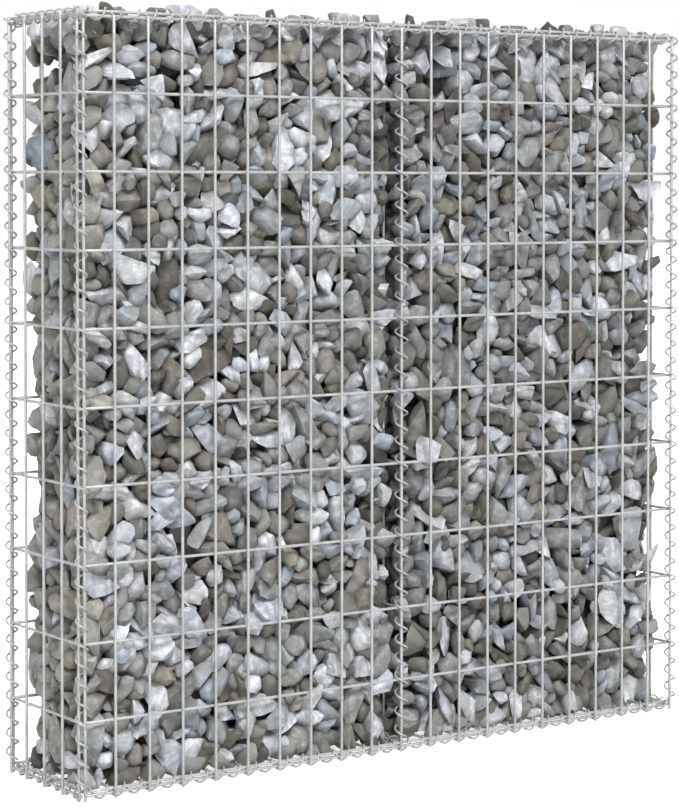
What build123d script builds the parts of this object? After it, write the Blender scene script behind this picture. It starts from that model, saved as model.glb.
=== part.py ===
from build123d import *
import os
from math import cos, radians, sin

# A free-standing wire basket of two compartments, filled with broken stone.
# X runs along the wall, Y through its depth and Z up. The origin is on the ground,
# under the middle of the basket.

# Welded mesh: the cells set the basket's length, depth and height
cells_along = 20
cells_deep = 4
cells_up = 10
cell_across = 50.0
cell_up = 100.0
head_margin = 9.0
wire = 4.0
end_inset = 5.8
weld_setback = 0.5

# Base and lid, which are laced inside the walls
tray_rise = 6.2
tray_end_inset = 9.0
wall_rise = 12.2

# Partition, whose end wires stand beside the middle uprights
partition_offset = 5.0
partition_inset = 8.2
partition_play = 0.4
partition_lacing_shift = 2.5

# Spiral lacing wire
lacing_wire = 2.8
lacing_play = 0.3
turns_per_cell = 3
sides_per_turn = 4

# Stone
stone_margin = 16.0
partition_gap = 7.0
stone_relief = 12.0
facets_along = 6
facets_deep = 2
facets_up = 3
seat_play = 0.3
lifts = 3

length = cells_along * cell_across
depth = cells_deep * cell_across
height = cells_up * cell_up + head_margin
lacing_pitch = cell_up / turns_per_cell
half_wire = wire / 2
tray_top = tray_rise + wire * 1.5


def spaced(cells, end):
    """Places of evenly spaced wires about the middle, with the two end wires at -end and end."""
    inner = [cell_across * (i - cells / 2) for i in range(1, cells)]
    return [-end] + inner + [end]


def levels(bottom):
    """Heights of the cross wires of a wall, with the lowest at bottom and the highest its mirror."""
    return [bottom] + [cell_up * i for i in range(1, cells_up)] + [height - bottom]


def mesh_panel(name, face, uprights, upright_ends, crosses, cross_end):
    """Weld a flat panel: uprights on the plane of the face, and cross wires inside against them.

    Each wire is three-sided, with its flat side against the wires that it is welded to.
    """
    low, high = upright_ends
    foot = face.from_local_coords((0, low, 0))
    side = face.from_local_coords((-cross_end, 0, 0))
    with BuildPart() as panel:
        for start, width, run, places, span in (
            (foot, face.x_dir, face.y_dir, [(u, 0) for u in uprights], high - low),
            (side, face.y_dir, face.x_dir, [(v, -wire) for v in crosses], 2 * cross_end),
        ):
            with BuildSketch(Plane(origin=start, x_dir=width, z_dir=run)):
                with Locations(*places):
                    Polygon((-half_wire, half_wire), (half_wire, half_wire), (0, -half_wire),
                            align=None)
            extrude(amount=span)
    panel.part.label = name
    export_step(panel.part, f"parts/{name}.step")


def lacing(name, wires, edge, outward, run, pitch):
    """Wind a left-handed spiral, square in end view, round two wires that run along an edge."""
    first, second = Vector(*wires[0]), Vector(*wires[1])
    spread = first - second
    spread = max(abs(spread.X), abs(spread.Y), abs(spread.Z)) / 2
    reach = spread + half_wire + lacing_play + lacing_wire / 2
    turn = 360 / sides_per_turn
    radius = reach / cos(radians(turn / 2))
    frame = Plane(origin=(first + second) * 0.5, x_dir=outward, z_dir=edge)
    corners = []
    for i in range(round(run / pitch * sides_per_turn) + 1):
        angle = radians(turn / 2 - turn * i)
        rise = pitch * i / sides_per_turn
        corners.append(frame.from_local_coords((radius * cos(angle), radius * sin(angle), rise)))
    with BuildPart() as spiral:
        with BuildLine() as path:
            Polyline(*corners)
        with BuildSketch(Plane(origin=corners[0], z_dir=corners[1] - corners[0])):
            RegularPolygon(lacing_wire / 2, 3)
        sweep(path=path.wires()[0], transition=Transition.RIGHT)
    spiral.part.label = name
    export_step(spiral.part, f"parts/{name}.step")


def stone_ring(low, high, level, course):
    """Outline of the stone at one level, set back from the walls by a part of the relief."""
    reach = depth / 2 - stone_margin
    sides = (
        ((low, -reach), (high, -reach), (0, 1), facets_along),
        ((high, -reach), (high, reach), (-1, 0), facets_deep),
        ((high, reach), (low, reach), (0, -1), facets_along),
        ((low, reach), (low, -reach), (1, 0), facets_deep),
    )
    ring = []
    for number, (start, end, inward, facets) in enumerate(sides):
        for i in range(facets):
            share = i / facets
            back = stone_relief * ((3 * i + 5 * course + 2 * number) % 7) / 6
            ring.append((start[0] + share * (end[0] - start[0]) + back * inward[0],
                         start[1] + share * (end[1] - start[1]) + back * inward[1], level))
    return ring


def stone_lift(name, low, high, courses, levels):
    """Lay one lift of stone in a compartment: a block whose upright faces are broken into facets."""
    rings = [stone_ring(low, high, level, course) for course, level in zip(courses, levels)]
    outlines = [rings[0], rings[-1]]
    for lower, upper in zip(rings, rings[1:]):
        for i in range(len(lower)):
            a, b = lower[i - 1], lower[i]
            d, c = upper[i - 1], upper[i]
            outlines += [(a, b, d), (b, c, d)] if i % 2 else [(a, b, c), (a, c, d)]
    with BuildPart() as fill:
        faces = [Face(Wire.make_polygon([Vector(*point) for point in outline], close=True))
                 for outline in outlines]
        add(Solid(Shell(faces)))
    fill.part.label = name
    export_step(fill.part, f"parts/{name}.step")


os.makedirs("parts", exist_ok=True)

# Walls
half_length = length / 2
half_depth = depth / 2
along_end = half_length - end_inset
deep_end = half_depth - end_inset
tray_end = half_length - tray_end_inset

wall_span = (0, height - wall_rise + half_wire)
mesh_panel("front_panel", Plane((0, -half_depth, 0), x_dir=(1, 0, 0), z_dir=(0, -1, 0)),
           spaced(cells_along, along_end), wall_span, levels(wall_rise),
           along_end - weld_setback)
mesh_panel("back_panel", Plane((0, half_depth, 0), x_dir=(-1, 0, 0), z_dir=(0, 1, 0)),
           spaced(cells_along, along_end), wall_span, levels(wall_rise),
           along_end - weld_setback)

end_span = (0, height - tray_rise + half_wire)
mesh_panel("left_end_panel", Plane((-half_length, 0, 0), x_dir=(0, -1, 0), z_dir=(-1, 0, 0)),
           spaced(cells_deep, deep_end), end_span, levels(tray_rise),
           deep_end - weld_setback)
mesh_panel("right_end_panel", Plane((half_length, 0, 0), x_dir=(0, 1, 0), z_dir=(1, 0, 0)),
           spaced(cells_deep, deep_end), end_span, levels(tray_rise),
           deep_end - weld_setback)

# Partition: its uprights stand on the base's long wires, beside the short one
partition_end = half_depth - partition_inset
partition_rise = tray_rise + half_wire + partition_play
partition_low = tray_top + half_wire + 1.5 * partition_play
mesh_panel("partition_panel", Plane((partition_offset, 0, 0), x_dir=(0, 1, 0), z_dir=(1, 0, 0)),
           spaced(cells_deep, partition_end), (partition_rise, height - partition_rise),
           levels(partition_low), partition_end - weld_setback)

# Base and lid: three long wires outside, and a short wire across at each upright
tray_long = [-deep_end, 0, deep_end]
tray_short = spaced(cells_along, tray_end)
tray_span = (-tray_end + weld_setback, tray_end - weld_setback)
mesh_panel("base_panel", Plane((0, 0, tray_rise), x_dir=(0, 1, 0), z_dir=(0, 0, -1)),
           tray_long, tray_span, tray_short, deep_end - weld_setback)
mesh_panel("lid_panel", Plane((0, 0, height - tray_rise), x_dir=(0, -1, 0), z_dir=(0, 0, 1)),
           tray_long, tray_span, tray_short, deep_end - weld_setback)

# Spiral lacing up the four corners and up the partition
lacing_start = lacing_pitch
upright_run = height - 2 * lacing_start
upright_run -= upright_run % lacing_pitch
corners = {
    "front_left": (-1, -1, (-1, 0, 0)),
    "front_right": (1, -1, (0, -1, 0)),
    "back_right": (1, 1, (1, 0, 0)),
    "back_left": (-1, 1, (0, 1, 0)),
}
for corner, (x, y, outward) in corners.items():
    wires = [(x * along_end, y * half_depth, lacing_start),
             (x * half_length, y * deep_end, lacing_start)]
    lacing(f"{corner}_lacing", wires, (0, 0, 1), outward, upright_run, lacing_pitch)

partition_lead = lacing_start - lacing_pitch / 8
for side, y in {"front": -1, "back": 1}.items():
    wires = [(0, y * half_depth, partition_lead),
             (partition_offset, y * partition_end, partition_lead)]
    lacing(f"partition_{side}_lacing", wires, (0, 0, 1), (0, y, 0), upright_run, lacing_pitch)

# Level lacing: one turn to two cells, which crosses the plane of the mesh inside the cells
level_pitch = 2 * cell_across
tray_mid = tray_rise + wire
for tray, at, out in (("base", 0, -1), ("lid", height, 1)):
    tray_z, wall_z, mid_z, partition_z = (
        at - out * rise for rise in (tray_rise, wall_rise, tray_mid, partition_low))
    start = cell_across / 4 - half_length
    run = length - cell_across / 2
    for side, y in {"front": -1, "back": 1}.items():
        wires = [(start, y * (half_depth - wire), wall_z), (start, y * deep_end, tray_z)]
        lacing(f"{tray}_{side}_lacing", wires, (1, 0, 0), (0, out, 0), run, level_pitch)
    start = cell_across / 4 - half_depth
    run = depth - cell_across / 2
    for side, x in {"left": -1, "right": 1}.items():
        wires = [(x * (half_length - wire), start, tray_z), (x * tray_end, start, mid_z)]
        lacing(f"{tray}_{side}_lacing", wires, (0, 1, 0), (x, 0, 0), run, level_pitch)
    start += out * partition_lacing_shift
    wires = [(partition_offset - wire, start, partition_z), (0, start, mid_z)]
    lacing(f"{tray}_partition_lacing", wires, (0, 1, 0), (out, 0, 0), run, level_pitch)

# Stone in three lifts in each compartment, each lift lying on the one below
stone_bottom = tray_top + seat_play
course_height = (height - 2 * stone_bottom) / (lifts * facets_up)
compartments = {
    "left": (stone_margin - half_length,
             partition_offset - 1.5 * wire - partition_gap),
    "right": (partition_offset + half_wire + partition_gap,
              half_length - stone_margin),
}
for compartment, (low, high) in compartments.items():
    for i, lift in enumerate(("lower", "middle", "upper")):
        courses = range(i * facets_up, (i + 1) * facets_up + 1)
        stone_lift(f"{compartment}_{lift}_stone", low, high, courses,
                   [stone_bottom + course * course_height for course in courses])
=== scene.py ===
import logging
import math
from dataclasses import dataclass, field
from enum import Enum

import bpy
import numpy as np
from mathutils import Euler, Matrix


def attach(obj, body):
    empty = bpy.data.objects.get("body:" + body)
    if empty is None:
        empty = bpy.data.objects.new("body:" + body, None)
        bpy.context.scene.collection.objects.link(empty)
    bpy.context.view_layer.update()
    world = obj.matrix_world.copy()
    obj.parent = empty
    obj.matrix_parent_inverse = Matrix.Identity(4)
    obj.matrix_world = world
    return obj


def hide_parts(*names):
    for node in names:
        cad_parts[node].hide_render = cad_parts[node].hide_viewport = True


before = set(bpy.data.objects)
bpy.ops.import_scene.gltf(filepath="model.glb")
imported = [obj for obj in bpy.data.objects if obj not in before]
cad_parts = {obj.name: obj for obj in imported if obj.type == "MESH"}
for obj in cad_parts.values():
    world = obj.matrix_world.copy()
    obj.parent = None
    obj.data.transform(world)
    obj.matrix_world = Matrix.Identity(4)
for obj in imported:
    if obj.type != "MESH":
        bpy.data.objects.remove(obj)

# Gabion wall: a welded wire basket of two compartments, laced with spiral wire and
# filled with broken stone. X runs along the wall, Y through it and Z up, in metres.

Array = np.ndarray
Colour = tuple[float, float, float]
Place = tuple[float, float, float]
Range = tuple[float, float]
Random = np.random.Generator
Material = bpy.types.Material
Socket = bpy.types.NodeSocket
Tree = bpy.types.NodeTree

MM = 0.001
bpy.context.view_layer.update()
log = logging.getLogger("gabion_wall")


class Slot(Enum):
    """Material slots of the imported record."""

    MESH = "mesh_wire"
    LACING = "lacing_wire"
    STONE = "broken_stone"


@dataclass(frozen=True)
class BasketSizes:
    """Sizes that the panels, the lacing and the stone share, in metres."""

    half_length: float = 500 * MM
    half_depth: float = 100 * MM
    height: float = 1009 * MM
    cells_along: int = 20
    cells_deep: int = 4
    cells_up: int = 10
    cell_across: float = 50 * MM
    cell_up: float = 100 * MM
    wire: float = 4 * MM
    end_inset: float = 5.8 * MM
    weld_setback: float = 0.5 * MM
    tray_rise: float = 6.2 * MM
    tray_end_inset: float = 9 * MM
    wall_rise: float = 12.2 * MM
    partition_offset: float = 5 * MM
    partition_inset: float = 8.2 * MM
    partition_rise: float = 8.6 * MM
    partition_low: float = 14.8 * MM

    def spaced(self, cells: int, end: float) -> Array:
        """Places of the wires of a number of cells, evenly spaced from -end to end."""
        places = self.cell_across * (np.arange(cells + 1) - cells / 2)
        places[0], places[-1] = -end, end
        return places

    def levels(self, lowest: float) -> Array:
        """Heights of a wall's cross wires, with the highest the mirror of the lowest."""
        heights = self.cell_up * np.arange(self.cells_up + 1.0)
        heights[0], heights[-1] = lowest, self.height - lowest
        return heights


SIZES = BasketSizes()


def link(name: str, data: bpy.types.ID) -> bpy.types.Object:
    """Puts data into the scene as a new object at the origin."""
    thing = bpy.data.objects.new(name, data)
    bpy.context.scene.collection.objects.link(thing)
    return thing


def dress(piece: bpy.types.Object, slot: Slot, *nodes: str) -> None:
    """Lets a piece stand for CAD nodes, which it hides, on the basket's one body."""
    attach(piece, "root")
    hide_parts(*nodes)


@dataclass
class Surface:
    """Points, faces and point traits that make up one mesh piece."""

    points: list[Array] = field(default_factory=list)
    faces: list[Array] = field(default_factory=list)
    traits: list[Array] = field(default_factory=list)
    count: int = 0

    def add(self, points: Array, traits: Array | None = None, flip: bool = False) -> None:
        """Adds closed shapes, each a stack of rings with both ends capped.

        Ring r, place c of shape g has number (g * rings + r) * columns + c. A face joins
        places c and c + 1 of rings r and r + 1, and the first and last ring are each one.

        Args:
            points: Points of shape (shapes, rings, columns, 3).
            traits: Four numbers a point, or none for zeros.
            flip: Whether the faces are turned round, for rings that run the other way.
        """
        shape = points.shape[:3]
        number = self.count + np.arange(math.prod(shape)).reshape(shape)
        beside = np.roll(number, -1, axis=2)
        sides = np.stack([number[:, :-1], beside[:, :-1], beside[:, 1:], number[:, 1:]], axis=-1)
        for rows in (sides.reshape(-1, 4), number[:, 0, ::-1], number[:, -1]):
            self.faces.append(rows[:, ::-1] if flip else rows)
        self.points.append(points.reshape(-1, 3))
        self.traits.append(np.zeros((number.size, 4)) if traits is None else traits.reshape(-1, 4))
        self.count += number.size

    def piece(self, name: str, finish: Material, slot: Slot, node: str,
              sharp_above: float | None = None) -> None:
        """Puts the shapes into one object at the origin that stands for a CAD node.

        Args:
            name: Name of the piece.
            finish: Its material.
            slot: Its material slot; not used.
            node: The CAD node.
            sharp_above: Angle in degrees from which an edge shades sharp, or none.
        """
        mesh = bpy.data.meshes.new(name)
        points = np.concatenate(self.points).astype(np.float32)
        counts = np.concatenate([np.full(len(rows), rows.shape[1]) for rows in self.faces])
        corners = np.concatenate([rows.ravel() for rows in self.faces])
        mesh.vertices.add(len(points))
        mesh.vertices.foreach_set("co", points.ravel())
        mesh.loops.add(len(corners))
        mesh.loops.foreach_set("vertex_index", corners.astype(np.int32))
        mesh.polygons.add(len(counts))
        starts = np.concatenate([[0], np.cumsum(counts)[:-1]])
        mesh.polygons.foreach_set("loop_start", starts.astype(np.int32))
        mesh.polygons.foreach_set("use_smooth", np.ones(len(counts), bool))
        mesh.update(calc_edges=True)
        traits = mesh.color_attributes.new("traits", "FLOAT_COLOR", "POINT")
        traits.data.foreach_set("color", np.concatenate(self.traits).astype(np.float32).ravel())
        mesh.materials.append(finish)
        piece = link(name, mesh)
        log.info("%s: %d points, %d triangles", name, len(points), int((counts - 2).sum()))
        if sharp_above is not None:
            mesh.set_sharp_from_angle(angle=math.radians(sharp_above))
        dress(piece, slot, node)


def unit(vectors: Array) -> Array:
    """Scales vectors, which lie along the last axis, to length 1."""
    return vectors / np.linalg.norm(vectors, axis=-1, keepdims=True)


def round_wires(centres: Array, across: Array, along: Array, radii: Array, sides: int) -> Array:
    """Carries a round profile along many paths at once.

    A point is centre + radius * (cos(turn) * across + sin(turn) * up), where up is
    along x across and turn goes once round.

    Args:
        centres: Path points, of shape (paths, rings, 3).
        across: Unit vectors square to the path, which broadcast to that shape.
        along: Unit vectors of the path's direction, which broadcast to that shape.
        radii: Radius at each ring, which broadcasts to (paths, rings).
        sides: Points round the profile.

    Returns:
        Points of shape (paths, rings, sides, 3).
    """
    across = np.broadcast_to(across, centres.shape)
    up = np.cross(np.broadcast_to(along, centres.shape), across)
    turn = np.arange(sides) * (2 * math.pi / sides)
    ring = (
        np.cos(turn)[:, None] * across[..., None, :] + np.sin(turn)[:, None] * up[..., None, :]
    )
    reach = np.broadcast_to(radii, centres.shape[:2])
    return centres[..., None, :] + reach[..., None, None] * ring


class Nodes:
    """Adds, sets and joins the nodes of one material, world or node group."""

    def __init__(self, tree: Tree) -> None:
        """Keeps the node tree."""
        self.tree = tree

    def feed(self, socket: Socket, value: object) -> None:
        """Joins an output to an input, or gives the input a plain value or colour."""
        if isinstance(value, Socket):
            self.tree.links.new(value, socket)
        elif value is not None:
            socket.default_value = (*value, 1.0) if socket.type == "RGBA" else value

    def fill(self, node: bpy.types.Node, *values: object, **settings: object) -> bpy.types.Node:
        """Sets a node.

        Args:
            node: The node.
            values: What its first inputs get: an output, a plain value or colour, or None.
            settings: Properties of the node, or what its inputs get by name, where a space
                in the name is written as an underscore.

        Returns:
            The same node.
        """
        for name, value in settings.items():
            if hasattr(node, name):
                setattr(node, name, value)
            else:
                self.feed(node.inputs[name.replace("_", " ")], value)
        for socket, value in zip(node.inputs, values):
            self.feed(socket, value)
        return node

    def add(self, kind: str, *values: object, **settings: object) -> bpy.types.Node:
        """Adds a node by its type's name without ShaderNode, and sets it as fill does."""
        return self.fill(self.tree.nodes.new("ShaderNode" + kind), *values, **settings)

    def maths(self, operation: str, *values: object) -> Socket:
        """Works on one or two numbers, each an output or a plain number."""
        return self.add("Math", *values, operation=operation).outputs[0]

    def blend(self, mask: object, first: object, second: object, mode: str = "MIX") -> Socket:
        """Mixes two colours.

        Args:
            mask: The second one's share.
            first: The colour underneath.
            second: The colour over it.
            mode: The Mix node's blend type.

        Returns:
            The mixed colour.
        """
        node = self.add("Mix", data_type="RGBA", blend_type=mode)
        for number, value in ((0, mask), (6, first), (7, second)):
            self.feed(node.inputs[number], value)
        return node.outputs[2]

    def spread(self, value: Socket, **ends: object) -> Socket:
        """Maps a number from one range to another, by the ends that a Map Range node has."""
        return self.add("MapRange", Value=value, **ends).outputs[0]

    def dim(self, colour: object, factor: Socket) -> Socket:
        """Multiplies a colour by a number."""
        return self.blend(1.0, colour, self.add("CombineColor", *[factor] * 3).outputs[0],
                          "MULTIPLY")


def new_material(name: str) -> tuple[Material, Nodes, bpy.types.Node]:
    """Makes a material, and gives it with its nodes and its Principled shader."""
    material = bpy.data.materials.new(name)
    material.use_nodes = True
    return material, Nodes(material.node_tree), material.node_tree.nodes["Principled BSDF"]


def patch_group() -> Tree:
    """Makes the group that both finishes use for worn or stained patches and for grain.

    Patches is noise at one scale, spread between Low and High to run from 0 to 1. Grain is
    coarse noise plus a share of fine noise, for a bump's height.

    Returns:
        The node group.
    """
    group = bpy.data.node_groups.new("patches_and_grain", "ShaderNodeTree")
    face = group.interface
    face.new_socket("Vector", in_out="INPUT", socket_type="NodeSocketVector")
    for name in ("Patch Scale", "Low", "High", "Grain Scale", "Fine Share"):
        face.new_socket(name, in_out="INPUT", socket_type="NodeSocketFloat")
    for name in ("Patches", "Grain"):
        face.new_socket(name, in_out="OUTPUT", socket_type="NodeSocketFloat")
    nodes = Nodes(group)
    given = group.nodes.new("NodeGroupInput").outputs
    patches = nodes.add("TexNoise", Vector=given["Vector"], Scale=given["Patch Scale"],
                        Detail=4.0, Roughness=0.55)
    patches = nodes.spread(patches.outputs["Fac"], interpolation_type="SMOOTHSTEP",
                           From_Min=given["Low"], From_Max=given["High"])
    fine_scale = nodes.maths("MULTIPLY", given["Grain Scale"], 4.3)
    coarse, fine = (
        nodes.add("TexNoise", Vector=given["Vector"], Scale=scale, Detail=detail).outputs["Fac"]
        for scale, detail in ((given["Grain Scale"], 3.0), (fine_scale, 2.0)))
    grain = nodes.maths("ADD", coarse, nodes.maths("MULTIPLY", fine, given["Fine Share"]))
    nodes.fill(group.nodes.new("NodeGroupOutput"), patches, grain)
    return group


@dataclass(frozen=True)
class GalvanisedFinish:
    """Zinc coated wire: pale crystals, duller patches and a fine drawn grain."""

    name: str
    bright: Colour
    dull: Colour
    crystals: float = 420.0
    crystal_share: float = 0.45
    patch_share: float = 0.5
    metallic: float = 0.35
    smooth: float = 0.42
    rough: float = 0.62
    grain_depth: float = 0.2 * MM

    def material(self, group: Tree) -> Material:
        """Makes the material.

        Args:
            group: The shared patches and grain group.

        Returns:
            The material.
        """
        material, nodes, shader = new_material(self.name)
        place = nodes.add("TexCoord").outputs["Object"]
        crystal = nodes.add("TexVoronoi", Vector=place, Scale=self.crystals)
        tint = nodes.add("SeparateColor", crystal.outputs["Color"])
        worn = nodes.add("Group", node_tree=group, Vector=place, Patch_Scale=45.0, Low=0.35,
                         High=0.7, Grain_Scale=900.0, Fine_Share=0.5)
        mask = nodes.maths("ADD", nodes.maths("MULTIPLY", tint.outputs[0], self.crystal_share),
                           nodes.maths("MULTIPLY", worn.outputs["Patches"], self.patch_share))
        bump = nodes.add("Bump", Height=worn.outputs["Grain"], Strength=0.5,
                         Distance=self.grain_depth)
        nodes.fill(shader, Base_Color=nodes.blend(mask, self.bright, self.dull),
                   Roughness=nodes.spread(mask, To_Min=self.smooth, To_Max=self.rough),
                   Normal=bump.outputs[0], Metallic=self.metallic)
        return material


@dataclass(frozen=True)
class StoneFinish:
    """Broken stone of mixed tones, matt and streaked, with painted shade where stones meet.

    The mesh's traits hold each stone's place on the tone scale, its brightness, a number
    that moves its pattern, and how near each point lies to another stone, which the finish turns
    into painted shade.
    """

    name: str = "broken_stone_mixed"
    contact_shade_colour: Colour = (0.20, 0.185, 0.16)
    contact_shade_share: float = 0.74
    stain: Colour = (0.195, 0.183, 0.158)
    bed_axis: Place = (0.60, 0.50, 0.62)
    bedding: Place = (40.0, 60.0, 260.0)
    grain_depth: float = 1.6 * MM
    tones: tuple[tuple[float, Colour], ...] = (
        (0.00, (0.101, 0.096, 0.084)),
        (0.15, (0.169, 0.161, 0.141)),
        (0.30, (0.262, 0.250, 0.224)),
        (0.42, (0.343, 0.331, 0.303)),
        (0.52, (0.258, 0.262, 0.256)),
        (0.64, (0.400, 0.405, 0.408)),
        (0.74, (0.400, 0.450, 0.505)),
        (0.86, (0.580, 0.598, 0.640)),
        (1.00, (0.780, 0.795, 0.840)),
    )

    def tone_scale(self, nodes: Nodes, tone: Socket) -> Socket:
        """Turns a stone's place on the tone scale into a colour.

        Args:
            nodes: Nodes of the material.
            tone: The place, from 0 to 1.

        Returns:
            The colour.
        """
        scale = nodes.add("ValToRGB", tone)
        ramp = scale.color_ramp
        while len(ramp.elements) < len(self.tones):
            ramp.elements.new(0.5)
        for element, (position, colour) in zip(ramp.elements, self.tones):
            element.position = position
            element.color = (*colour, 1.0)
        return scale.outputs[0]

    def material(self, group: Tree) -> Material:
        """Makes the material: tone, mottle, flecks, bedding streaks, hue, and then painted shade
        where stones meet.

        Args:
            group: The shared patches and grain group.

        Returns:
            The material.
        """
        material, nodes, shader = new_material(self.name)
        traits = nodes.add("Attribute", attribute_name="traits").outputs
        tone, bright, number = nodes.add("SeparateColor", traits["Color"]).outputs
        place = nodes.add("TexCoord").outputs["Object"]
        aside = nodes.add("CombineXYZ", X=number, Z=number).outputs[0]
        place = nodes.add("VectorMath", place, aside, operation="ADD").outputs[0]
        marks = nodes.add("Group", node_tree=group, Vector=place, Patch_Scale=70.0, Low=0.42,
                          High=0.68, Grain_Scale=240.0, Fine_Share=0.55).outputs
        drift = nodes.spread(marks["Patches"], To_Min=-0.06, To_Max=0.06)
        colour = self.tone_scale(nodes, nodes.maths("ADD", tone, drift))
        mottle = nodes.spread(marks["Patches"], To_Min=0.88, To_Max=1.12)
        colour = nodes.dim(colour, nodes.maths("MULTIPLY", bright, mottle))
        speckle = nodes.add("TexNoise", Vector=place, Scale=900.0, Detail=2.0)
        colour = nodes.dim(colour, nodes.spread(speckle.outputs["Fac"], From_Min=0.35,
                                                From_Max=0.65, To_Min=0.86, To_Max=1.12))
        turned = nodes.add("VectorRotate", rotation_type="AXIS_ANGLE", Vector=place,
                           Axis=self.bed_axis, Angle=number)
        beds = nodes.add("VectorMath", turned.outputs[0], self.bedding, operation="MULTIPLY")
        streak = nodes.add("TexNoise", Vector=beds.outputs[0], Scale=1.0, Detail=3.0,
                           Distortion=0.4)
        band = nodes.spread(streak.outputs["Fac"], From_Min=0.40, From_Max=0.66, To_Max=0.34)
        part = nodes.maths("FRACT", nodes.maths("MULTIPLY", number, 7.31))
        hue = nodes.add("HueSaturation", Color=nodes.blend(band, colour, self.stain),
                        Hue=nodes.spread(part, To_Min=0.466, To_Max=0.506),
                        Saturation=nodes.maths("ADD", nodes.maths("POWER", part, 2.0), 0.65))
        # Painted shade: the colour is multiplied towards contact_shade_colour by how near each
        # point lies to another stone.
        near = nodes.maths("MULTIPLY", traits["Alpha"], self.contact_shade_share)
        bump = nodes.add("Bump", Height=marks["Grain"], Strength=0.6, Distance=self.grain_depth)
        nodes.fill(shader, Normal=bump.outputs[0], Specular_IOR_Level=0.3,
                   Base_Color=nodes.blend(near, hue.outputs[0], self.contact_shade_colour, "MULTIPLY"),
                   Roughness=nodes.spread(marks["Patches"], To_Min=0.72, To_Max=0.95))
        return material


@dataclass
class WeldedPanel:
    """A welded mesh panel: uprights on its plane, cross wires inside, a weld at each meeting."""

    name: str
    middle: Array
    across: Array
    up: Array
    rng: Random
    uprights: Array
    upright_ends: Range
    crosses: Array
    cross_end: float
    sides: int = 10
    bow: float = 0.35 * MM
    cut: float = 0.5 * MM
    rings: int = 12
    weld_radius: float = 2.85 * MM
    weld_reach: float = 1.7 * MM

    def wires(self, starts: Array, ends: Array, square: Array) -> Array:
        """Draws wires with slightly rounded cut ends and a slight bow.

        Ring r of a wire is at start + share(r) * (end - start), moved sideways by
        bow * sin(pi * share) times a random part, so both ends stay put.

        Args:
            starts: Start of each wire.
            ends: End of each wire.
            square: Unit vector square to all of them.

        Returns:
            Points of shape (wires, rings, sides, 3).
        """
        run = ends - starts
        along = unit(run)[:, None]
        share = np.concatenate([[0.0], np.linspace(0, 1, self.rings), [1.0]])[:, None]
        offset = np.zeros_like(share)
        offset[1], offset[-2] = self.cut, -self.cut
        centres = starts[:, None] + share * run[:, None]
        centres = centres + offset * along
        sway = self.rng.uniform(-1, 1, (len(starts), 1, 1)) * self.bow
        centres = centres + sway * np.sin(math.pi * share) * square
        radii = np.full(len(share), SIZES.wire / 2)
        radii[[0, -1]] *= 0.72
        return round_wires(centres, square, along, radii, self.sides)

    def welds(self, inward: Array) -> Array:
        """Draws the weld where each cross wire meets each upright.

        A weld is a flattened ball between the two wires: four rings whose radii follow the
        cosine of their height over the ball.

        Args:
            inward: Unit vector from the uprights to the cross wires.

        Returns:
            Points of shape (welds, 4, 7, 3).
        """
        u, v = (grid.reshape(-1, 1) for grid in np.meshgrid(self.uprights, self.crosses))
        middles = self.middle + u * self.across + v * self.up + inward * (SIZES.wire / 2)
        tilt = np.radians(np.linspace(-66, 66, 4))
        size = self.rng.uniform(0.9, 1.12, (len(middles), 1))
        centres = middles[:, None] + (np.sin(tilt) * self.weld_reach)[:, None] * inward
        return round_wires(centres, self.across, inward,
                           np.cos(tilt) * self.weld_radius * size, 7)

    def build(self, finish: Material) -> None:
        """Makes the panel as one piece that stands for its CAD node.

        Args:
            finish: The wires' material.
        """
        inward = -np.cross(self.across, self.up)
        low, high = self.upright_ends
        foot = self.middle + self.uprights[:, None] * self.across
        side = self.middle + self.crosses[:, None] * self.up + inward * SIZES.wire
        reach = self.cross_end * self.across
        surface = Surface()
        surface.add(self.wires(foot + low * self.up, foot + high * self.up, self.across))
        surface.add(self.wires(side - reach, side + reach, self.up))
        surface.add(self.welds(inward))
        surface.piece(f"{self.name}_mesh", finish, Slot.MESH, f"{self.name}_panel")


@dataclass
class Lacing:
    """A left-handed spiral of thinner wire, wound along an edge round the wires of two panels."""

    name: str
    axis: Place
    edge: Place
    outward: Place
    run: float
    phase: float
    radius: float = 7.6 * MM
    wire: float = 2.8 * MM
    pitch: float = 25 * MM
    cut: float = 0.4 * MM
    steps: int = 18
    sides: int = 7

    def build(self, finish: Material, seed: int) -> None:
        """Makes the spiral as one piece that stands for its CAD node.

        The path is axis + s * edge + radius * (cos(turn) * outward + sin(turn) * side), with
        turn = -2 pi (s - phase) / pitch, so that it faces outward at s = phase. Its radius
        and pitch waver slowly by a small part. The ends are cut square with a small rounding.

        Args:
            finish: The wire's material.
            seed: Seed of the wavering.
        """
        edge, outward = np.array(self.edge), np.array(self.outward)
        count = round(self.run / self.pitch * self.steps)
        s = np.linspace(0, self.run, count + 1)
        a, b, c = np.random.default_rng(seed).uniform(0, 2 * math.pi, 3)
        turn = -2 * math.pi * (s - self.phase) / self.pitch + 0.05 * np.sin(s * 31 + a)
        radius = self.radius * (1 + 0.012 * np.sin(s * 23 + b) + 0.008 * np.sin(s * 71 + c))
        side = np.cross(edge, outward)
        radial = np.cos(turn)[:, None] * outward + np.sin(turn)[:, None] * side
        centres = np.array(self.axis) + s[:, None] * edge + radius[:, None] * radial
        along = unit(np.gradient(centres, axis=0))
        along, radial, centres = (np.concatenate([rows[:1], rows, rows[-1:]])
                                  for rows in (along, radial, centres))
        centres[0] -= along[0] * self.cut
        centres[-1] += along[-1] * self.cut
        across = unit(radial - (radial * along).sum(1, keepdims=True) * along)
        radii = np.full(len(centres), self.wire / 2)
        radii[[0, -1]] *= 0.72
        surface = Surface()
        surface.add(round_wires(centres[None], across[None], along[None], radii[None],
                                self.sides))
        surface.piece(f"{self.name}_spiral", finish, Slot.LACING, f"{self.name}_lacing")


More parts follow.
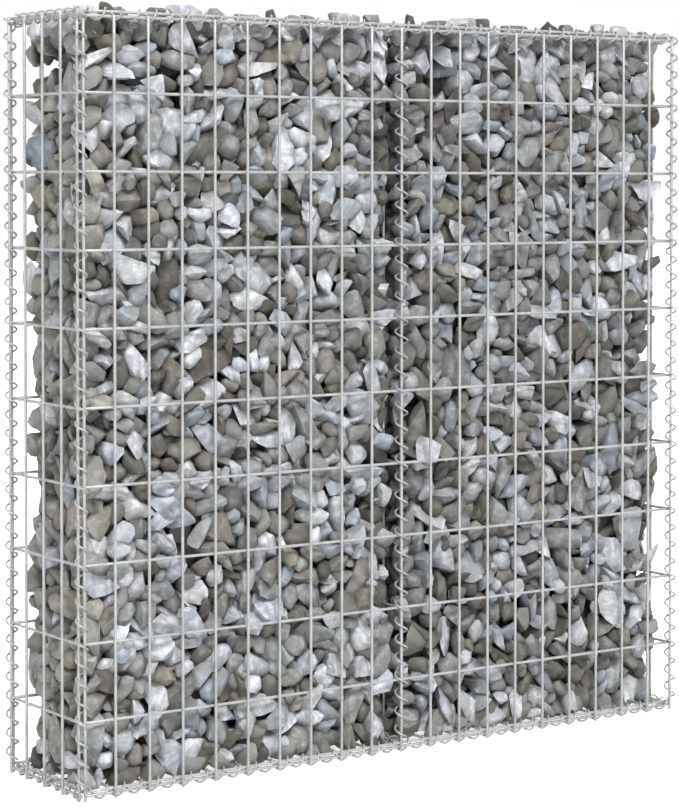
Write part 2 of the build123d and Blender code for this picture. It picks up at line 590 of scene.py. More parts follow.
@dataclass
class Basket:
    """The wire basket: seven welded panels and the lacing along every edge."""

    sizes: BasketSizes = SIZES
    corner_inset: float = 2.9 * MM
    level_rise: float = 9.2 * MM
    end_rise: float = 8.2 * MM
    middle_rise: float = 12.5 * MM

    def panels(self) -> list[WeldedPanel]:
        """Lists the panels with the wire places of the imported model."""
        s = self.sizes
        along_end = s.half_length - s.end_inset
        deep_end = s.half_depth - s.end_inset
        tray_end = s.half_length - s.tray_end_inset
        partition_end = s.half_depth - s.partition_inset
        wall = (s.spaced(s.cells_along, along_end), (0.0, s.height - s.wall_rise + s.wire / 2),
                s.levels(s.wall_rise), along_end - s.weld_setback)
        end = (s.spaced(s.cells_deep, deep_end), (0.0, s.height - s.tray_rise + s.wire / 2),
               s.levels(s.tray_rise), deep_end - s.weld_setback)
        tray = (np.array([-deep_end, 0.0, deep_end]),
                (s.weld_setback - tray_end, tray_end - s.weld_setback),
                s.spaced(s.cells_along, tray_end), deep_end - s.weld_setback)
        partition = (s.spaced(s.cells_deep, partition_end),
                     (s.partition_rise, s.height - s.partition_rise),
                     s.levels(s.partition_low), partition_end - s.weld_setback)
        z = (0, 0, 1)
        return [
            WeldedPanel(name, np.array(middle), np.array(across), np.array(up),
                        np.random.default_rng(seed), *wires)
            for seed, (name, middle, across, up, wires) in enumerate((
                ("front", (0, -s.half_depth, 0), (1, 0, 0), z, wall),
                ("back", (0, s.half_depth, 0), (-1, 0, 0), z, wall),
                ("left_end", (-s.half_length, 0, 0), (0, -1, 0), z, end),
                ("right_end", (s.half_length, 0, 0), (0, 1, 0), z, end),
                ("partition", (s.partition_offset, 0, 0), (0, 1, 0), z, partition),
                ("base", (0, 0, s.tray_rise), (0, 1, 0), (1, 0, 0), tray),
                ("lid", (0, 0, s.height - s.tray_rise), (0, -1, 0), (1, 0, 0), tray),
            ), start=11)
        ]

    def lacings(self) -> list[Lacing]:
        """Lists the spirals along the four corners, the partition, the base and the lid."""
        s = self.sizes
        x, y = s.half_length - self.corner_inset, s.half_depth - self.corner_inset
        top = s.height - s.tray_rise
        found = [
            Lacing(corner, (*axis, start), (0, 0, 1), outward, top - start, phase)
            for corner, axis, outward, start, phase in (
                ("front_left", (-x, -y), (-1, 0, 0), 4.0 * MM, 0.6 * MM),
                ("front_right", (x, -y), (0, -1, 0), 14.0 * MM, -13.6 * MM),
                ("back_right", (x, y), (1, 0, 0), 4.0 * MM, 0.6 * MM),
                ("back_left", (-x, y), (0, 1, 0), 18.0 * MM, -9.7 * MM),
            )
        ]
        found += [
            Lacing(f"partition_{side}", (2.5 * MM, y * 95.9 * MM, 21.875 * MM), (0, 0, 1),
                   (0, y, 0), 950 * MM, 1.125 * MM, radius=8.4 * MM)
            for side, y in (("front", -1), ("back", 1))
        ]
        lead = s.cell_across / 4
        along, deep = s.half_length - lead, s.half_depth - lead
        for tray, up in (("base", -1), ("lid", 1)):
            level_z, end_z, middle_z = (
                (s.height if up > 0 else 0.0) - up * rise
                for rise in (self.level_rise, self.end_rise, self.middle_rise))
            for side, y in (("front", -1), ("back", 1)):
                found.append(Lacing(f"{tray}_{side}", (-along, y * 95.1 * MM, level_z),
                                    (1, 0, 0), (0, y, 0), 2 * along, 21.3 * MM))
            for side, x in (("left", -1), ("right", 1)):
                found.append(Lacing(f"{tray}_{side}", (x * 493.5 * MM, -deep, end_z), (0, 1, 0),
                                    (x, 0, 0), 2 * deep, lead * (1 + x / 2), radius=7.2 * MM))
            found.append(Lacing(f"{tray}_partition", (0.5 * MM, -deep, middle_z), (0, 1, 0),
                                (0, 0, up), 2 * deep, lead * (1 - up / 2), radius=6.4 * MM))
        return found

    def build(self, mesh_finish: Material, lacing_finish: Material) -> None:
        """Builds every panel and every spiral in its finish."""
        for panel in self.panels():
            panel.build(mesh_finish)
        for seed, lacing in enumerate(self.lacings(), start=40):
            lacing.build(lacing_finish, seed)


def capped(steps: Array, limit: float) -> Array:
    """Shortens the steps that are longer than a limit."""
    return steps * np.minimum(1, limit / np.maximum(np.linalg.norm(steps, axis=-1, keepdims=True),
                                                    1e-9))


def cell_corners(grid: Array) -> Array:
    """Gathers the four corners of each cell of stacked grids that close round."""
    beside = np.roll(grid, -1, axis=2)
    return np.stack([grid[:, :-1], grid[:, 1:], beside[:, :-1], beside[:, 1:]], axis=3)


def random_turns(count: int, rng: Random) -> Array:
    """Gives rotation matrices, from random unit quaternions."""
    w, x, y, z = unit(rng.normal(0, 1, (count, 4))).T
    return np.stack([
        1 - 2 * (y * y + z * z), 2 * (x * y - w * z), 2 * (x * z + w * y),
        2 * (x * y + w * z), 1 - 2 * (x * x + z * z), 2 * (y * z - w * x),
        2 * (x * z - w * y), 2 * (y * z + w * x), 1 - 2 * (x * x + y * y),
    ], axis=1).reshape(count, 3, 3)


@dataclass(frozen=True)
class StoneKind:
    """How one kind of stone breaks: a ball cut by flat faces, then drawn out along its axes."""

    share: float
    half_length: Range
    broad: Range
    thick: Range
    faces: tuple[Place, ...]
    spread: float
    reach: Range
    chips: int
    chip_reach: Range
    softness: float
    unevenness: float
    rows: int
    columns: int
    tone_middle: tuple[float, ...]
    tone_share: tuple[float, ...]
    longest_move: float = 0.28

    def cut(self, count: int, rng: Random) -> Array:
        """Cuts unit balls back to flat faces.

        In each direction the surface is cut back to the nearest plane. Each cell of the
        grid of directions then gets the point that lies nearest to the planes met at its
        four corners, so that the edges and corners stay crisp on a coarse grid: it solves
        (sum of n n + softness) x = sum of n (n . p) about the corners' mean.

        Args:
            count: How many.
            rng: Source of the planes and of the points' unevenness.

        Returns:
            Points of shape (count, rows, columns, 3).
        """
        ways = unit(np.array(self.faces, float))
        normals = unit(np.concatenate([
            ways + rng.normal(0, self.spread, (count, len(ways), 3)),
            rng.normal(0, 1, (count, self.chips, 3)),
        ], axis=1))
        reach = np.concatenate([
            rng.uniform(*self.reach, (count, len(ways))),
            rng.uniform(*self.chip_reach, (count, self.chips)),
        ], axis=1)
        polar = np.linspace(0, math.pi, self.rows + 1)[:, None]
        around = np.arange(self.columns) * (2 * math.pi / self.columns)
        ray = np.stack([np.sin(polar) * np.cos(around), np.sin(polar) * np.sin(around),
                        np.cos(polar) * np.ones_like(around)], axis=-1)
        facing = np.einsum("rcx,nkx->nrck", ray, normals)
        far = np.where(facing > 0.02, reach[:, None, None] / np.maximum(facing, 0.02), 9.0)
        far = np.concatenate([far, np.ones((*far.shape[:3], 1))], axis=3)
        nearest = far.argmin(axis=3)
        stone = np.arange(count)[:, None, None]
        last = normals.shape[1]
        met = np.where((nearest == last)[..., None], ray,
                       normals[stone, np.minimum(nearest, last - 1)])
        corners, planes = cell_corners(far.min(axis=3)[..., None] * ray), cell_corners(met)
        mean = corners.mean(axis=3)
        step = ((corners - mean[..., None, :]) * planes).sum(axis=-1)
        matrix = np.einsum("nrcki,nrckj->nrcij", planes, planes) + self.softness * np.eye(3)
        wanted = np.einsum("nrcki,nrck->nrci", planes, step)
        move = capped(np.linalg.solve(matrix, wanted[..., None])[..., 0], self.longest_move)
        return (mean + move) * rng.normal(1, self.unevenness, (*mean.shape[:3], 1))


FOUR_WAYS: tuple[Place, ...] = ((1, 1, 1), (1, -1, -1), (-1, 1, -1), (-1, -1, 1))
SIX_WAYS: tuple[Place, ...] = (
    (1, 0, 0), (-1, 0, 0), (0, 1, 0), (0, -1, 0), (0, 0, 1), (0, 0, -1))


class Stone(Enum):
    """The kinds of stone in the fill."""

    SHARD = StoneKind(
        share=0.50, half_length=(26 * MM, 41 * MM), broad=(0.48, 0.80), thick=(0.40, 0.64),
        faces=FOUR_WAYS, spread=0.34, reach=(0.32, 0.54), chips=1, chip_reach=(0.6, 0.95),
        softness=0.14, unevenness=0.022, rows=7, columns=8,
        tone_middle=(0.96, 0.86, 0.68, 0.54, 0.32, 0.14),
        tone_share=(0.28, 0.26, 0.16, 0.10, 0.12, 0.08))
    BLOCK = StoneKind(
        share=0.37, half_length=(18 * MM, 30 * MM), broad=(0.60, 0.90), thick=(0.45, 0.75),
        faces=SIX_WAYS, spread=0.45, reach=(0.46, 0.80), chips=2, chip_reach=(0.6, 0.95),
        softness=0.32, unevenness=0.020, rows=6, columns=8,
        tone_middle=(0.92, 0.76, 0.64, 0.50, 0.32, 0.14),
        tone_share=(0.21, 0.09, 0.17, 0.15, 0.21, 0.17))
    PEBBLE = StoneKind(
        share=0.13, half_length=(12 * MM, 19 * MM), broad=(0.66, 1.0), thick=(0.55, 0.85),
        faces=SIX_WAYS, spread=0.50, reach=(0.66, 0.95), chips=1, chip_reach=(0.70, 0.95),
        softness=0.6, unevenness=0.015, rows=5, columns=7,
        tone_middle=(0.90, 0.76, 0.62, 0.46, 0.30, 0.12),
        tone_share=(0.17, 0.15, 0.14, 0.16, 0.22, 0.16))
    CORE = StoneKind(
        share=0.0, half_length=(32 * MM, 42 * MM), broad=(0.7, 0.95), thick=(0.6, 0.9),
        faces=SIX_WAYS, spread=0.35, reach=(0.5, 0.8), chips=1, chip_reach=(0.6, 0.9),
        softness=0.3, unevenness=0.020, rows=5, columns=6,
        # The core's stones get only the darker tones: painted shade for the inside of the fill.
        tone_middle=(0.54, 0.32, 0.14), tone_share=(0.3, 0.4, 0.3))


@dataclass
class Stones:
    """Stones of one kind: points about each stone's own middle, and the traits of each point."""

    points: Array
    traits: Array

    @classmethod
    def break_up(cls, kind: StoneKind, count: int, rng: Random) -> "Stones":
        """Breaks stones of one kind, stretched to their sizes and turned at random.

        Args:
            kind: The kind of stone.
            count: How many.
            rng: Source of every choice.

        Returns:
            The stones.
        """
        points = kind.cut(count, rng)
        half = rng.uniform(*kind.half_length, count)
        axes = np.stack([half * rng.uniform(*kind.broad, count),
                         half * rng.uniform(*kind.thick, count), half], axis=1)
        points = np.einsum("nij,nrcj->nrci", random_turns(count, rng),
                           points * axes[:, None, None])
        points -= points.mean(axis=(1, 2), keepdims=True)
        tone = rng.choice(kind.tone_middle, count, p=kind.tone_share) + rng.normal(0, 0.04, count)
        traits = np.zeros((*points.shape[:3], 4))
        traits[..., 0] = np.clip(tone, 0, 1)[:, None, None]
        traits[..., 1] = np.clip(rng.normal(1, 0.09, count), 0.75, 1.22)[:, None, None]
        traits[..., 2] = rng.uniform(0, 40, count)[:, None, None]
        return cls(points, traits)

    def lowest(self) -> Array:
        """Lowest corner of each stone's box."""
        return self.points.min(axis=(1, 2))

    def highest(self) -> Array:
        """Highest corner of each stone's box."""
        return self.points.max(axis=(1, 2))

    def move(self, *steps: Array) -> None:
        """Moves the stones along X, Y and Z, each by its own steps."""
        self.points += np.stack(steps, axis=1)[:, None, None]

    def volume(self) -> float:
        """Gives the mean space that one stone takes, from its radius matrix."""
        return float((4 / 3 * math.pi / np.sqrt(np.linalg.det(self.stretch()))).mean())

    def stretch(self) -> Array:
        """Gives each stone's 3 x 3 matrix whose form u.M.u is one over its radius squared.

        The matrix is the inverse of the points' own covariance, scaled to their surface.
        """
        flat = self.points.reshape(len(self.points), -1, 3)
        cover = np.einsum("npi,npj->nij", flat, flat) / flat.shape[1] * 2.4
        return np.linalg.inv(cover)


Crest = tuple[tuple[float, float, float, float], ...]
Gaps = tuple[tuple[float, float, float], ...]


@dataclass
class StoneFill:
    """The stone of one compartment, settled together and shared out over three lifts.

    Large stones lie in the middle, and the smaller ones that show lie all round them. Rows
    of stones close the top under the lid and the bottom over the base.

    Each row of crest is a stone that rises through the lid: its place along the wall, its
    width and its top in mm, and its tone. A row of gaps is a place to see through: the
    depth and height where it starts at the outer end, and its radius, in metres.
    """

    side: str
    low: float
    high: float
    rng: Random
    painted_light_level: float
    crest: Crest
    end_band: float = 0.0
    end_share: float = 0.6
    end_tones: Range = (0.28, 0.50)
    end_painted_light: float = 1.42
    gaps: Gaps = ()
    gap_way: Place = (0.467, 0.883, 0.050)
    fill: float = 0.68
    core_fill: float = 0.60
    core_cover: float = 35 * MM
    wall_margin: float = 11 * MM
    bottom: float = 12.5 * MM
    top: float = 996.5 * MM
    ragged: Range = (-2 * MM, 9 * MM)
    rounds: int = 110
    renewal: int = 8
    slab: int = 300
    push: float = 0.30
    pull: float = 0.4 * MM
    stride: float = 8 * MM
    contact_shade_reach: float = 6 * MM
    row_play: float = 2.5 * MM
    row_width: Range = (32 * MM, 40 * MM)
    doubled: float = 0.4
    crown_rows: tuple[float, ...] = (-68 * MM, -27 * MM, 27 * MM, 68 * MM)
    crown_rise: Range = (7 * MM, 13 * MM)
    crest_size: Range = (36 * MM, 42 * MM)
    footing_rows: tuple[float, ...] = (-70 * MM, -30 * MM, 30 * MM, 70 * MM)
    footing_drop: Range = (10 * MM, 15 * MM)
    footing_flat: Range = (4 * MM, 6 * MM)
    column_pitch: float = 27 * MM
    column_size: Range = (34 * MM, 44 * MM)
    shade_column_tones: Range = (0.04, 0.32)
    sharp_above: float = 64.0
    lifts: tuple[str, ...] = ("lower", "middle", "upper")

    def corners(self, cover: float) -> tuple[Array, Array]:
        """Lowest and highest corner of the space that stone may fill, cover deep inside."""
        reach = SIZES.half_depth - self.wall_margin
        low = np.array([self.low, -reach, self.bottom]) + cover
        return low, np.array([self.high, reach, self.top]) - cover

    def supply(self) -> list[Stones]:
        """Breaks enough stones of each kind to fill the compartment.

        The number of a kind is its share of the space over the mean space one takes.

        Returns:
            The stones, one batch a kind, with the core last.
        """
        outer, inner = (np.prod(np.subtract(*self.corners(cover)[::-1]))
                        for cover in (0.0, self.core_cover))
        *shown, core = (stone.value for stone in Stone)
        spaces = {kind: Stones.break_up(kind, 60, np.random.default_rng(1)).volume()
                  for kind in (*shown, core)}
        mean = sum(kind.share * spaces[kind] for kind in shown)
        count = self.fill * (outer - inner) / mean
        batches = [Stones.break_up(kind, round(count * kind.share), self.rng) for kind in shown]
        count = round(self.core_fill * inner / spaces[core])
        return batches + [Stones.break_up(core, count, self.rng)]

    def neighbours(self, places: Array, wide: Array) -> Array:
        """Finds the pairs of stones that may touch, slab by slab from the bottom.

        Args:
            places: The stones' middles.
            wide: Each stone's largest radius.

        Returns:
            Two rows with the numbers of each pair's stones.
        """
        order = np.argsort(places[:, 2])
        pairs = []
        for start in range(0, len(order), self.slab):
            rest = order[start:]
            mine = rest[:self.slab]
            near = rest[places[rest, 2] < places[mine, 2].max() + 80 * MM]
            apart = np.linalg.norm(places[mine, None] - places[near], axis=2)
            i, j = np.nonzero(apart < (wide[mine, None] + wide[near]) * 1.05)
            keep = (mine[i] != near[j]) & ((j >= len(mine)) | (i < j))
            pairs.append(np.stack([mine[i[keep]], near[j[keep]]]))
        return np.concatenate(pairs, axis=1)

    def settle(self, batches: list[Stones], stretch: Array) -> tuple[Array, Array]:
        """Finds a place for each stone.

        The stones start at random in the compartment. In each round two stones that overlap
        along the line between their middles move apart by a part of the overlap, each stone
        that shows is drawn to its nearest wall, and each is brought back between the walls by
        its own size.

        Args:
            batches: The stones, one batch a kind, with the core last.
            stretch: Matrix of each stone's radius, as Stones.stretch gives it.

        Returns:
            The stones' middles, and the pairs of stones that are near each other.
        """
        core = np.arange(len(stretch)) >= len(stretch) - len(batches[-1].points)
        cover = np.where(core, self.core_cover, 0.0)[:, None]
        inset = np.where(core, 0.0, self.rng.uniform(*self.ragged, len(core)))[:, None]
        low, high = self.corners(0.0)
        by_left, by_right = (1.0, 0.3) if self.side == "left" else (0.3, 1.0)
        floor = low + cover - np.concatenate([batch.lowest() for batch in batches])
        roof = high - cover - np.concatenate([batch.highest() for batch in batches])
        floor += inset * (by_left, 1, 0)
        roof -= inset * (by_right, 1, 0)
        floor, roof = np.minimum(floor, (floor + roof) / 2), np.maximum(roof, (floor + roof) / 2)
        places = self.rng.uniform(floor, roof)
        inner_low, inner_high = self.corners(self.core_cover)
        for _ in range(6):
            hidden = ~core & ((places > inner_low) & (places < inner_high)).all(axis=1)
            places[hidden] = self.rng.uniform(floor[hidden], roof[hidden])
        wide = np.sqrt(1 / np.linalg.eigvalsh(stretch)[:, 0])
        for step in range(self.rounds):
            if step % self.renewal == 0:
                first, second = self.neighbours(places, wide)
                nearest = np.concatenate([places - floor, roof - places], axis=1).argmin(axis=1)
                draw = np.zeros_like(places)
                draw[np.arange(len(places)), nearest % 3] = np.where(
                    core, 0, np.where(nearest < 3, -self.pull, self.pull))
            line = places[second] - places[first]
            apart = np.maximum(np.linalg.norm(line, axis=1), 1e-6)
            line /= apart[:, None]
            need = sum(1 / np.sqrt(np.einsum("pi,pij,pj->p", line, stretch[who], line))
                       for who in (first, second))
            push = np.maximum(need - apart, 0)[:, None] * line * self.push
            shift = np.stack([np.bincount(second, part, len(places))
                              - np.bincount(first, part, len(places)) for part in push.T], axis=1)
            places = np.clip(places + capped(shift, self.stride) + draw, floor, roof)
        over = np.maximum(need - apart, 0)
        log.info("%s stone: %d stones, %d touching pairs, mean overlap %.1f mm", self.side,
                 len(places), int((over > 0).sum()), float(over[over > 0].mean() / MM))
        return places, np.stack([first, second])

    def darken(self, batches: list[Stones], places: Array, stretch: Array, pairs: Array) -> None:
        """Gives each point of the stones that show its nearness to other stones, for painted shade
        where stones meet.

        A point p lies at p.M.p = d squared from another stone's middle, so its gap to that
        stone is about |p| (1 - 1 / d). Nearness is the sum over the near stones of
        1 - gap / contact_shade_reach, each between 0 and 1, and is kept in the last trait.

        Args:
            batches: The stones, one batch a kind.
            places: Middles of all the stones.
            stretch: Matrix of each stone's radius.
            pairs: The pairs of stones that are near each other.
        """
        both = np.concatenate([pairs, pairs[::-1]], axis=1)
        start = 0
        for batch in batches[:-1]:
            count = len(batch.points)
            mine, other = both[:, (both[0] >= start) & (both[0] < start + count)]
            away = (places[mine] - places[other])[:, None, None] + batch.points[mine - start]
            form = np.sqrt(np.einsum("nrci,nij,nrcj->nrc", away, stretch[other], away))
            gap = np.linalg.norm(away, axis=-1) * (1 - 1 / np.maximum(form, 0.3))
            total = np.zeros(batch.points.shape[:3])
            np.add.at(total, mine - start, np.clip(1 - gap / self.contact_shade_reach, 0, 1))
            # This nearness darkens the stone's colour in the finish: painted shade in the gaps
            # between stones.
            batch.traits[..., 3] = np.clip(total, 0, 1)
            start += count

    def retone_and_light_end(self, stones: Stones, places: Array) -> None:
        """Gives some of the stones near the outer end other tones, and brightness raised by
        end_painted_light: painted light, so that the outer end face reads as lit.

        Args:
            stones: Stones of one kind.
            places: Their middles.
        """
        outer = places[:, 0] < self.low + self.end_band
        outer &= self.rng.random(len(outer)) < self.end_share
        tones = self.rng.uniform(*self.end_tones, outer.sum())
        stones.traits[outer, ..., 0] = tones[:, None, None]
        # Painted light: the outer end's stones are made brighter so that the end face reads as
        # lit.
        stones.traits[outer, ..., 1] *= self.end_painted_light

    def shaped(self, stone: Stone, room: Array) -> Stones:
        """Breaks one stone for each row of room, drawn to about that size along X, Y and Z."""
        stones = Stones.break_up(stone.value, len(room), self.rng)
        size = stones.highest() - stones.lowest()
        stones.points *= np.clip(room / size, 0.4, 1.7)[:, None, None]
        return stones

    def rows(self, stone: Stone, across: tuple[float, ...]) -> tuple[Array, Array, Stones]:
        """Breaks stones for straight rows along the compartment, one or two to a mesh cell.

        Args:
            stone: The kind of stone.
            across: Place of each row.

        Returns:
            Each stone's place along and across the compartment, and the stones, each drawn to
            the size of its place between the wires.
        """
        pitch = SIZES.cell_across
        wires = np.arange(math.ceil(self.low / pitch), math.floor(self.high / pitch) + 1) * pitch
        spots = []
        for y in across:
            for start, end in zip((self.low, *wires), (*wires, self.high)):
                parts = 1 + int(end - start > 30 * MM and self.rng.random() < self.doubled)
                width = (end - start - 2 * self.row_play) / parts
                spots += [(start + self.row_play + width * (part + 0.5), y, width)
                          for part in range(parts) if width > 12 * MM]
        x, y, width = np.array(spots).T
        room = np.stack([width, *self.rng.uniform(*self.row_width, (2, len(x)))], axis=1)
        return x, y, self.shaped(stone, room)

    def column(self) -> tuple[Stones, Array]:
        """Breaks the stones that close the front edge beside the partition, in dark tones with a
        fixed painted shade: they stand for the shade in the gap there.

        Returns:
            The stones, and their middles.
        """
        z = np.arange(self.bottom + 20 * MM, self.top - 15 * MM, self.column_pitch)
        stones = self.shaped(Stone.BLOCK, self.rng.uniform(*self.column_size, (len(z), 3)))
        # Painted shade: these stones get only dark tones, for the shade in the gap by the
        # partition.
        stones.traits[..., 0] = self.rng.uniform(*self.shade_column_tones, len(z))[:, None, None]
        # Painted shade: the contact-shade nearness is fixed at 0.6 over each whole stone.
        stones.traits[..., 3] = 0.6
        front = self.wall_margin - SIZES.half_depth + self.rng.uniform(6 * MM, 14 * MM, len(z))
        return stones, np.stack([self.high - stones.highest()[:, 0],
                                 front - stones.lowest()[:, 1], z], axis=1)

    def bridged(self, places: Array) -> Array:
        """Finds the stones left out where the outer end is loose enough to see through.

        A gap runs from a point of the end along gap_way to the wall behind. A stone is left
        out if its middle is nearer to that line than the gap's radius.

        Args:
            places: The stones' middles.

        Returns:
            True for each stone that is left out.
        """
        out = np.zeros(len(places), bool)
        way = np.array(self.gap_way)
        for y, z, radius in self.gaps:
            away = places - (self.low, y, z)
            out |= np.linalg.norm(away - (away @ way)[:, None] * way, axis=1) < radius
        return out

    def footing(self) -> Stones:
        """Breaks the lowest stones, which hang a little way into the cells of the base.

        Returns:
            The stones, with their points in place.
        """
        x, y, stones = self.rows(Stone.BLOCK, self.footing_rows)
        wall = SIZES.half_depth - self.wall_margin - np.abs(stones.points[..., 1]).max(axis=(1, 2))
        y = np.where(np.abs(y) > 60 * MM, np.sign(y) * wall, y)
        rise = self.bottom - self.rng.uniform(*self.footing_drop, len(x))
        stones.move(x, y, rise - stones.lowest()[:, 2])
        flat = self.bottom - self.rng.uniform(*self.footing_flat, len(x))
        stones.points[..., 2] = np.maximum(stones.points[..., 2], flat[:, None, None])
        return stones

    def crown(self) -> Stones:
        """Breaks the stones that lie under the lid and show between its wires.

        Returns:
            The stones, with their points in place.
        """
        x, y, stones = self.rows(Stone.SHARD, self.crown_rows)
        low, high = self.crown_rise
        rise = self.rng.uniform(self.top + low, self.top + high, len(x))
        stones.move(x, y, rise - stones.highest()[:, 2])
        return stones

    def raised(self) -> list[Stones]:
        """Breaks the crest: narrow pointed stones, and broad ones cut level at their tops.

        Returns:
            The pointed stones and the broad ones, whose points are in place.
        """
        found = []
        for stone, pointed in ((Stone.SHARD, True), (Stone.BLOCK, False)):
            named = [row for row in self.crest if (row[1] < 20) == pointed]
            x, width, top, tone = (np.array(named) * (MM, MM, MM, 1)).T
            room = np.stack([width, *np.tile(self.crest_size, (len(x), 1)).T], axis=1)
            stones = self.shaped(stone, room)
            stones.move(x, np.full(len(x), self.crown_rows[0]),
                        top - stones.highest()[:, 2] + (0 if pointed else 6 * MM))
            stones.points[..., 2] = np.minimum(stones.points[..., 2], top[:, None, None])
            stones.traits[..., 0] = tone[:, None, None]
            found.append(stones)
        return found

    def lay(self) -> list[tuple[Stones, Array]]:
        """Puts every stone of the compartment in its place.

        Returns:
            Batches of stones, each with the number of every stone's lift, or -1 for a stone
            that is left out.
        """
        batches = self.supply()
        stretch = np.concatenate([batch.stretch() for batch in batches])
        places, pairs = self.settle(batches, stretch)
        self.darken(batches, places, stretch, pairs)
        ends = np.cumsum([len(batch.points) for batch in batches])[:-1]
        settled = list(zip(batches, np.split(places, ends)))
        if self.end_band:
            for stones, middles in settled:
                self.retone_and_light_end(stones, middles)
            settled.append(self.column())
        laid = []
        highest = len(self.lifts) - 1
        for stones, middles in settled:
            share = (middles[:, 2] - self.bottom) / (self.top - self.bottom)
            level = np.clip(np.floor(share * len(self.lifts)), 0, highest)
            level[self.bridged(middles)] = -1
            stones.move(*middles.T)
            laid.append((stones, level))
        for level, stones in ((0, self.footing()), (highest, self.crown()),
                              *((highest, stones) for stones in self.raised())):
            laid.append((stones, np.full(len(stones.points), level)))
        return laid

    def build(self, finish: Material) -> None:
        """Makes the stone as three pieces, one for each CAD lift.

        Args:
            finish: The stones' material.
        """
        laid = self.lay()
        # Painted light: each compartment's stones are made paler or darker as a whole, for light
        # that falls more on the left compartment than on the right.
        for stones, _ in laid:
            stones.traits[..., 1] *= self.painted_light_level
        for number, lift in enumerate(self.lifts):
            surface = Surface()
            for stones, level in laid:
                here = level == number
                surface.add(stones.points[here], stones.traits[here], flip=True)
            surface.piece(f"{self.side}_{lift}_broken_stone", finish, Slot.STONE,
                          f"{self.side}_{lift}_stone", self.sharp_above)


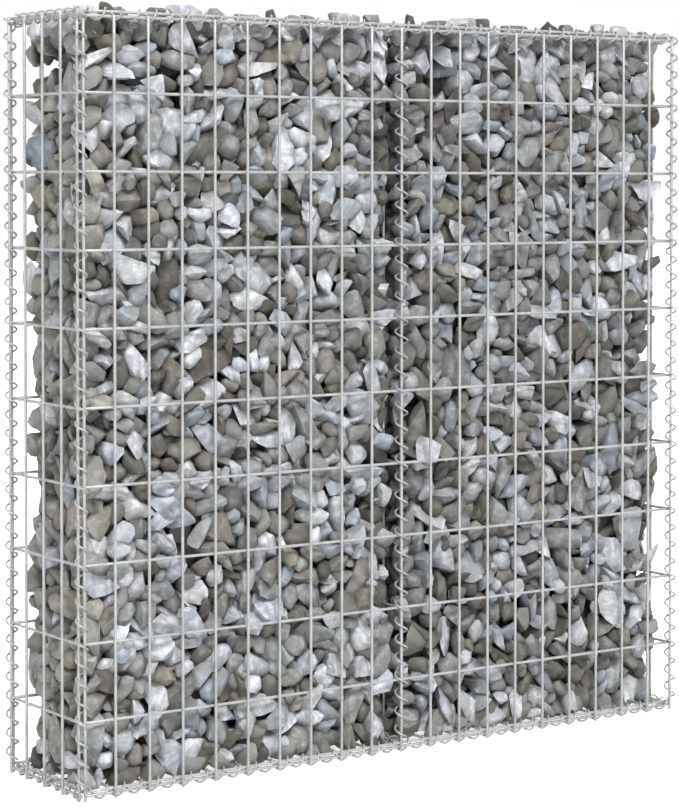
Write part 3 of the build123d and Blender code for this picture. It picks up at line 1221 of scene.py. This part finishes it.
@dataclass
class Studio:
    """Camera, white surroundings, floor and soft lamps."""

    eye: Place = (-1.9798, -2.8402, 0.7816)
    heading: float = 34.40
    dip: float = 1.604
    lens: float = 130.45
    shift: float = -0.2187
    white: Colour = (1.0, 1.0, 1.0)
    sky: Colour = (0.96, 0.98, 1.0)
    ambient: float = 0.46
    floor_size: float = 20.0
    floor_colour: Colour = (0.82, 0.82, 0.82)
    floor_lift: float = 0.80

    def camera(self) -> None:
        """Stands the camera where the photograph was taken from."""
        data = bpy.data.cameras.new("camera")
        data.sensor_fit = "HORIZONTAL"
        data.lens = self.lens
        data.shift_y = self.shift
        data.clip_end = 60.0
        camera = link("camera", data)
        camera.location = self.eye
        camera.rotation_euler = Euler(
            (math.radians(90 - self.dip), 0.0, math.radians(-self.heading)))
        bpy.context.scene.camera = camera

    def seen(self, nodes: Nodes) -> Socket:
        """Gives 1 for rays that show the background itself: camera, mirror and see-through."""
        path = nodes.add("LightPath").outputs
        mask = nodes.maths("MAXIMUM", path["Is Camera Ray"], path["Is Glossy Ray"])
        return nodes.maths("MAXIMUM", mask, path["Is Transmission Ray"])

    def world(self) -> None:
        """Surrounds the scene with white, and lights it with less."""
        world = bpy.data.worlds.new("studio")
        bpy.context.scene.world = world
        world.use_nodes = True
        world.node_tree.nodes.clear()
        nodes = Nodes(world.node_tree)
        light = nodes.add("Background", Color=self.sky, Strength=self.ambient)
        shown = nodes.add("Background", Color=self.white, Strength=1.0)
        mix = nodes.add("MixShader", self.seen(nodes), light.outputs[0], shown.outputs[0])
        nodes.add("OutputWorld", mix.outputs[0])

    def floor(self) -> None:
        """Lays a white floor that keeps the basket's shadow."""
        size = self.floor_size
        mesh = bpy.data.meshes.new("floor")
        mesh.from_pydata([(-size, -size, 0), (size, -size, 0), (size, size, 0), (-size, size, 0)],
                         [], [(0, 1, 2, 3)])
        material, nodes, shader = new_material("floor_white")
        nodes.fill(shader, Base_Color=self.floor_colour, Roughness=1.0, Specular_IOR_Level=0.0,
                   Emission_Color=self.white,
                   Emission_Strength=nodes.maths("MULTIPLY", self.seen(nodes), self.floor_lift))
        mesh.materials.append(material)
        floor = link("floor", mesh)

    def lamp(self, name: str, toward: Place, strength: float, spread: float) -> None:
        """Adds a far lamp with soft shadows.

        Args:
            name: Name of the lamp.
            toward: Direction from the basket to the lamp.
            strength: Light that it gives on a surface that faces it.
            spread: Its width in degrees.
        """
        data = bpy.data.lights.new(name, "SUN")
        data.energy = strength
        data.angle = math.radians(spread)
        x, y, z = toward
        link(name, data).rotation_euler = Euler(
            (math.atan2(math.hypot(x, y), z), 0.0, math.atan2(y, x) + math.pi / 2))

    def build(self) -> None:
        """Sets the whole studio up."""
        self.camera()
        self.world()
        self.floor()
        self.lamp("key", (-0.22, -0.75, 0.80), 2.75, 20.0)
        self.lamp("rear", (0.45, 0.70, 0.45), 0.8, 30.0)
        bpy.context.scene.view_settings.view_transform = "Standard"


LEFT_CREST: Crest = (
    (-468, 30, 1012, 0.92), (-441, 16, 1019, 0.06), (-421, 22, 1012, 0.56),
    (-376, 44, 1012, 0.34), (-325, 44, 1018, 0.92), (-284, 28, 1015, 0.50),
    (-226, 44, 1010, 0.52), (-190, 17, 1019, 0.06), (-164, 24, 1011, 0.54),
    (-125, 44, 1012, 0.50), (-75, 44, 1018, 0.92), (-28, 38, 1016, 0.50))
RIGHT_CREST: Crest = (
    (36, 17, 1020, 0.06), (75, 44, 1013, 0.52), (125, 44, 1018, 0.92),
    (165, 26, 1018, 0.50), (225, 44, 1011, 0.52), (284, 17, 1020, 0.06),
    (316, 26, 1015, 0.46), (375, 44, 1018, 0.88), (421, 38, 1019, 0.92),
    (466, 28, 1011, 0.52))
LEFT_GAPS: Gaps = ((-0.012, 0.942, 0.021), (0.004, 0.982, 0.013))


def main() -> None:
    """Builds the studio, the basket and its stone."""
    logging.basicConfig(level=logging.INFO, format="%(message)s")
    Studio().build()
    group = patch_group()
    mesh_finish = GalvanisedFinish("galvanised_mesh", (0.565, 0.573, 0.560), (0.378, 0.386, 0.385))
    lacing_finish = GalvanisedFinish("galvanised_lacing", (0.52, 0.52, 0.52), (0.34, 0.34, 0.34),
                                     crystals=520.0)
    Basket().build(mesh_finish.material(group), lacing_finish.material(group))
    stone = StoneFinish().material(group)
    for fill in (
        StoneFill("left", -486 * MM, -2.5 * MM, np.random.default_rng(5), painted_light_level=1.05,
                  crest=LEFT_CREST, end_band=32 * MM, gaps=LEFT_GAPS),
        StoneFill("right", 8.5 * MM, 488 * MM, np.random.default_rng(6), painted_light_level=0.88,
                  crest=RIGHT_CREST),
    ):
        fill.build(stone)


if __name__ == "__main__":
    main()
